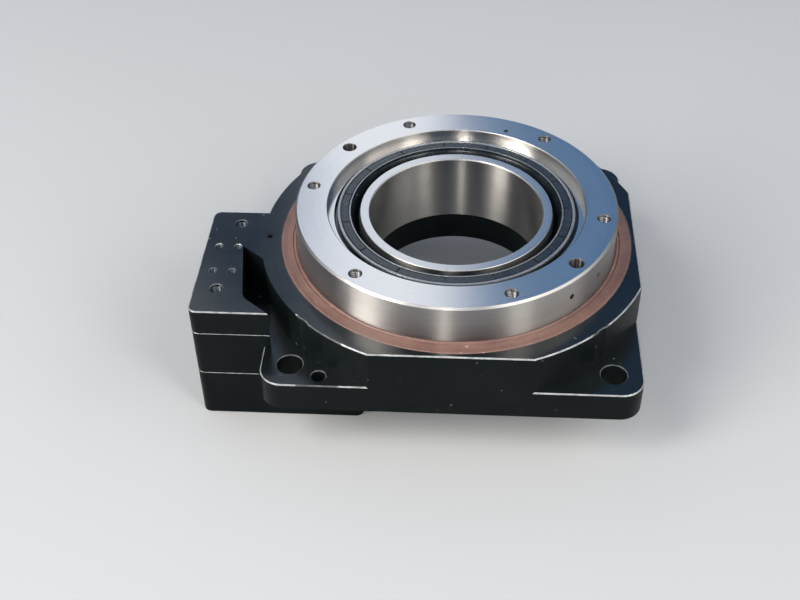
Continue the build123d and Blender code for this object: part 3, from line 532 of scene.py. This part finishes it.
def inner_seal_outline():
    """Sunk flange, outer bead, groove, ribbed band, inner bead, then the lip that runs on the sleeve."""
    low, high = INNER_SEAL_BAND
    top = INNER_SEAL_TOP
    count = INNER_SEAL_RIDGES * 6
    band = []
    for i in range(count + 1):
        swell = 0.5 - 0.5 * math.cos(2 * math.pi * INNER_SEAL_RIDGES * i / count)
        band.append((high - (high - low) * i / count, top - 0.24 + 0.02 * swell))
    flange = [(43.43, 29.2), (43.43, 35.8), (42.6, 35.8)]
    outer_bead = arc((42.3, top - 0.2), 0.2, 0, 90, 4) + arc((41.75, top - 0.2), 0.2, 90, 180, 4)
    inner_bead = arc((38.22, top - 0.2), 0.12, 0, 90, 4) + arc((37.9, top - 0.2), 0.12, 90, 180, 4)
    lip = arc((35.55, 31.6), 0.49, 150, 210, 4)
    return (flange + outer_bead + [(41.5, top - 0.8), (41.25, top - 0.8)] + band
            + [(38.55, top - 0.7), (38.36, top - 0.7)] + inner_bead
            + [(37.6, top - 1.2), (36.7, 35.2), (35.6, 32.8)] + lip
            + [(35.9, 30.3), (36.9, 31.0), (38.4, 34.6), (41.5, 34.6), (41.5, 29.2)])


def inner_seal_shift(angle, r, z):
    """Narrow notches across the ribbed band."""
    low, high = INNER_SEAL_BAND
    on_band = low < r < high and z > INNER_SEAL_TOP - 0.4
    in_notch = min(abs(angle - a) for a in NOTCH_ANGLES) <= NOTCH_HALF
    return r, (z - NOTCH_DEPTH if on_band and in_notch else z)


def outer_seal_outline():
    """Case wall, rounded edge, gently dished face and the raised lip against the table's rim."""
    count = 16
    face = []
    for i in range(count + 1):
        part = i / count
        face.append((62.7 - 3.4 * part, 26.82 - 0.16 * math.sin(math.pi * part)))
    return ([(63.25, 21.7)] + arc((62.8, 26.4), 0.45, 0, 70, 5) + face
            + [(58.95, 26.55), (58.75, 26.62), (58.6, 26.9)] + arc((58.2, 26.95), 0.34, 20, 150, 6)
            + [(OUTER_SEAL_LIP, 26.9), (OUTER_SEAL_LIP, 26.6), (57.9, 26.0), (57.9, 23.8),
               (OUTER_SEAL_LIP, 23.2), (57.9, 22.5), (59.0, 22.5), (59.0, 25.2), (61.3, 25.2), (61.3, 21.7)])


def outer_seal_shift(angle, r, z):
    """Slight unevenness of a soft lip that has been pushed over the rim."""
    if z < 26.4 or r > 59.2:
        return r, z
    turn = math.radians(angle)
    wave = math.sin(9 * turn + 0.4) + 0.6 * math.sin(23 * turn + 1.7) + 0.4 * math.sin(57 * turn)
    return r + 0.03 * (2 + wave) * (r > 57.6), z - 0.03 * (2 + wave)


even = [0.5 * i for i in range(720)]
notched = even + [a + side * off for a in NOTCH_ANGLES for side in (-1, 1)
                  for off in (NOTCH_HALF, NOTCH_HALF + 0.05)]
inner = ring_mesh(inner_seal_outline(), sorted(notched), inner_seal_shift)
outer = ring_mesh(outer_seal_outline(), even, outer_seal_shift)
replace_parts(piece("inner_seal_moulding", *inner, "table", "black_rubber"), "inner_seal")
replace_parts(piece("outer_seal_moulding", *outer, "base", "brown_rubber"), "outer_seal")


# ---- floor, lights and camera --------------------------------------------------

def floor():
    """Round floor that ends under the lights, where it is still pale."""
    radius, count = 0.97, 128
    height = FLOOR - 0.1 * MM
    mesh = bpy.data.meshes.new("floor")
    mesh.from_pydata([(x, y, height) for x, y in on_circle(radius, count, 0.0)], [], [range(count)])
    mesh.materials.append(floor_material())
    made = bpy.data.objects.new("floor", mesh)
    bpy.context.scene.collection.objects.link(made)


TARGET = Vector((0, 0, 20 * MM))    # what the panels face
PANEL_DISTANCE = 1.2
WARM_WHITE = (1.0, 0.965, 0.915)


def panel(name, azimuth, elevation, width, height, radiance):
    """Soft panel that faces the object; its place and its size are given as angles in degrees."""
    az, el = math.radians(azimuth), math.radians(elevation)
    away = Vector((math.cos(az) * math.cos(el), math.sin(az) * math.cos(el), math.sin(el)))
    lamp = bpy.data.lights.new(name, "AREA")
    lamp.shape = "RECTANGLE"
    lamp.size = 2 * PANEL_DISTANCE * math.tan(math.radians(width / 2))
    lamp.size_y = 2 * PANEL_DISTANCE * math.tan(math.radians(height / 2))
    lamp.energy = radiance * math.pi * lamp.size * lamp.size_y
    lamp.color = WARM_WHITE
    made = bpy.data.objects.new(name, lamp)
    made.location = TARGET + away * PANEL_DISTANCE
    made.rotation_mode = "QUATERNION"
    made.rotation_quaternion = (-away).to_track_quat("-Z", "Y")
    bpy.context.scene.collection.objects.link(made)


def studio_world():
    """Dim cool surroundings for the reflections; looked at directly they are as pale as the floor."""
    world = bpy.data.worlds.new("studio")
    world.use_nodes = True
    tree = world.node_tree
    tree.nodes.clear()
    out, around, pale, where, split, ramp, seen, pick = (
        tree.nodes.new("ShaderNode" + kind) for kind in (
            "OutputWorld", "Background", "Background", "TexCoord", "SeparateXYZ", "ValToRGB", "LightPath",
            "MixShader"))
    tree.links.new(where.outputs["Generated"], split.inputs[0])
    tree.links.new(split.outputs[2], ramp.inputs[0])
    tree.links.new(ramp.outputs[0], around.inputs[0])
    tree.links.new(seen.outputs["Is Camera Ray"], pick.inputs[0])
    tree.links.new(around.outputs[0], pick.inputs[1])
    tree.links.new(pale.outputs[0], pick.inputs[2])
    tree.links.new(pick.outputs[0], out.inputs[0])
    pale.inputs[0].default_value = (0.94, 0.94, 0.94, 1)
    stops = ramp.color_ramp.elements
    stops[0].position = 0.0
    stops[0].color = (0.10, 0.12, 0.13, 1)
    stops[1].position = 0.35
    stops[1].color = (0.085, 0.19, 0.38, 1)
    bpy.context.scene.world = world


CAMERA_PLACE = Vector((4.2, -345.9, 300.2)) * MM
CAMERA_YAW = math.radians(-4.13)
CAMERA_PITCH = math.radians(41.50)
CAMERA_ROLL = math.radians(-1.07)
CAMERA_LENS = 54.23


def camera():
    """Camera at the angle and distance the object is normally shown from."""
    forward = Vector((math.sin(CAMERA_YAW) * math.cos(CAMERA_PITCH),
                      math.cos(CAMERA_YAW) * math.cos(CAMERA_PITCH), -math.sin(CAMERA_PITCH)))
    side = Vector((math.cos(CAMERA_YAW), -math.sin(CAMERA_YAW), 0.0))
    up = side.cross(forward)
    right = side * math.cos(CAMERA_ROLL) + up * math.sin(CAMERA_ROLL)
    above = up * math.cos(CAMERA_ROLL) - side * math.sin(CAMERA_ROLL)
    lens = bpy.data.cameras.new("camera")
    lens.lens = CAMERA_LENS
    lens.sensor_width = 36.0
    lens.clip_start = 0.01
    made = bpy.data.objects.new("camera", lens)
    made.matrix_world = Matrix((
        (right.x, above.x, -forward.x, CAMERA_PLACE.x),
        (right.y, above.y, -forward.y, CAMERA_PLACE.y),
        (right.z, above.z, -forward.z, CAMERA_PLACE.z),
        (0, 0, 0, 1)))
    bpy.context.scene.collection.objects.link(made)
    bpy.context.scene.camera = made


floor()
studio_world()
panel("left_key", -147.5, 32, 19, 56, 17.0)
panel("front_strip", -95.5, 34, 2.0, 44, 52.0)
panel("right_fill", -47, 32, 15, 50, 8.0)
panel("right_soft", -20, 30, 36, 40, 3.6)
panel("side_soft", 22, 30, 46, 40, 1.1)
panel("back_window", 97.0, 42, 10, 54, 0.98)
panel("left_window", 152, 38, 60, 38, 1.2)
camera()
bpy.context.scene.view_settings.view_transform = "Standard"
